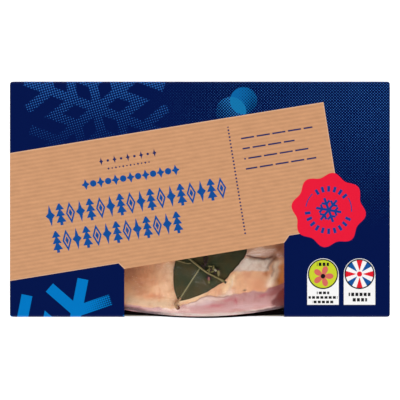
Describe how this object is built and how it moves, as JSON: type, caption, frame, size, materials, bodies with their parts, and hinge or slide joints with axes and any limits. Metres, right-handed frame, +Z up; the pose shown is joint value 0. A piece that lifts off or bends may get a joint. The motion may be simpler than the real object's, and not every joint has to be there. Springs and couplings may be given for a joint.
{
  "type": "sleeved pack of gammon",
  "caption": "Gammon joint sealed in a black tray inside a printed card sleeve, whose window over the front fold shows the fat, a bay leaf and a sprig of thyme.",
  "frame": {"origin": "centre of the underside of the pack, which lies flat with its printed face up", "axes": "+X along the sleeve's open tube, to the right of the print; +Y towards the top of the print; +Z up, out of the printed face"},
  "size_m": [0.247, 0.1536, 0.092],
  "materials": {
    "sleeve": "satin printed card, navy with a kraft brown band and blue snowflakes",
    "tray": "glossy black formed plastic",
    "gammon": "moist cured fat and pink lean meat",
    "film": "clear glossy film drawn tight over the joint",
    "bay_leaf": "dull olive dried leaf with a pale midrib",
    "thyme_sprig": "dry straw stems and small dark leaflets"
  },
  "bodies": {
    "root": {"sleeve": "sleeve", "tray": "tray", "gammon": "gammon", "bay_leaf": "bay_leaf", "thyme_sprig": "thyme_sprig"}
  },
  "joints": []
}
